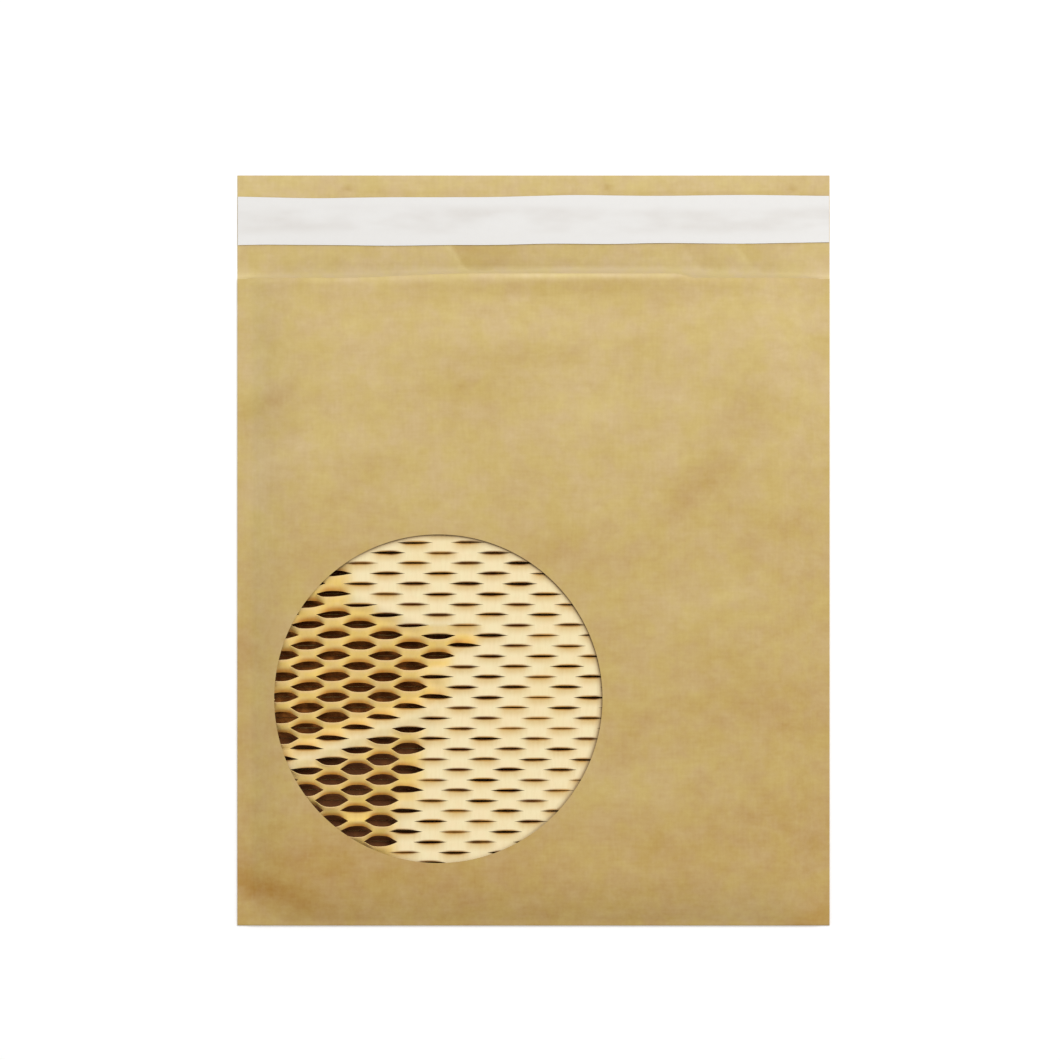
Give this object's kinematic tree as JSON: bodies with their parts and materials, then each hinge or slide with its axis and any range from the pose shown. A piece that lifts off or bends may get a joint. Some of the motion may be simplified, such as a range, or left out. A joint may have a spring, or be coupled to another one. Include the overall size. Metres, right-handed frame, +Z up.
{
  "type": "padded envelope",
  "caption": "Flat brown kraft padded mailer with its flap open, a release strip across the flap and a round front window onto slit honeycomb paper padding.",
  "frame": {"origin": "on the surface that the envelope lies on, under the middle of its outline with the flap open", "axes": "+X across the envelope to the right, +Y along it towards the flap, +Z up out of the window"},
  "size_m": [0.23, 0.2912, 0.009],
  "materials": {
    "kraft": "matte brown kraft paper, softly mottled",
    "padding": "matte pale cream slit paper",
    "back_padding": "matte brown slit paper, dark in the shade of the pocket",
    "glue": "dried paper glue",
    "adhesive": "tacky clear adhesive",
    "release": "smooth white release paper"
  },
  "bodies": {
    "root": {"outer_sheet": "kraft", "front_liner": "padding", "back_liner": "back_padding", "left_seam_glue": "glue", "right_seam_glue": "glue", "flap_adhesive": "adhesive", "release_strip": "release"}
  },
  "joints": []
}
